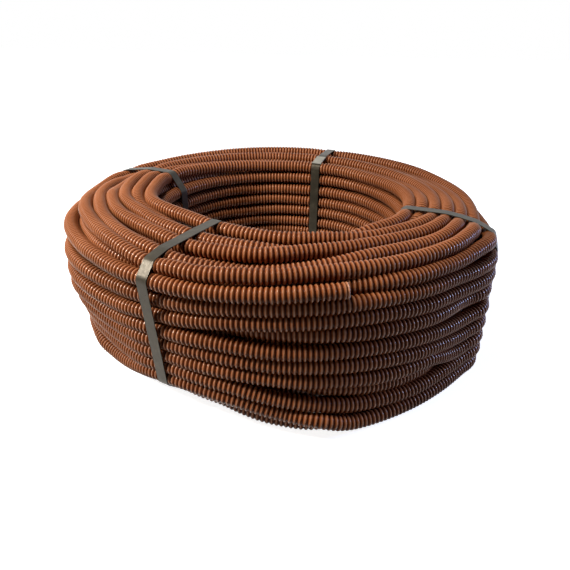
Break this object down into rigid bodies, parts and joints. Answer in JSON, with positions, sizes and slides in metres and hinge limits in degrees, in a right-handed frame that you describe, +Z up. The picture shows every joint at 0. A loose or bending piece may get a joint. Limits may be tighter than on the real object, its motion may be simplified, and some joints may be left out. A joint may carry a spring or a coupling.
{
  "type": "corrugated conduit coil",
  "caption": "Strapped coil of brown corrugated plastic conduit, lying flat, with its outer cut end showing.",
  "frame": {"origin": "on the floor, under the middle of the coil", "axes": "+Z up along the coil's axis, -Y towards the picture's front, +X to its right"},
  "size_m": [0.614, 0.614, 0.2144],
  "materials": {
    "conduit": "semi-gloss brown",
    "strap": "satin dark olive grey",
    "seal": "satin"
  },
  "bodies": {
    "root": {"conduit_coil": "conduit", "strap_front_left": "strap", "seal_front_left": "seal", "strap_back_left": "strap", "seal_back_left": "seal", "strap_back": "strap", "seal_back": "seal", "strap_right": "strap", "seal_right": "seal"}
  },
  "joints": []
}
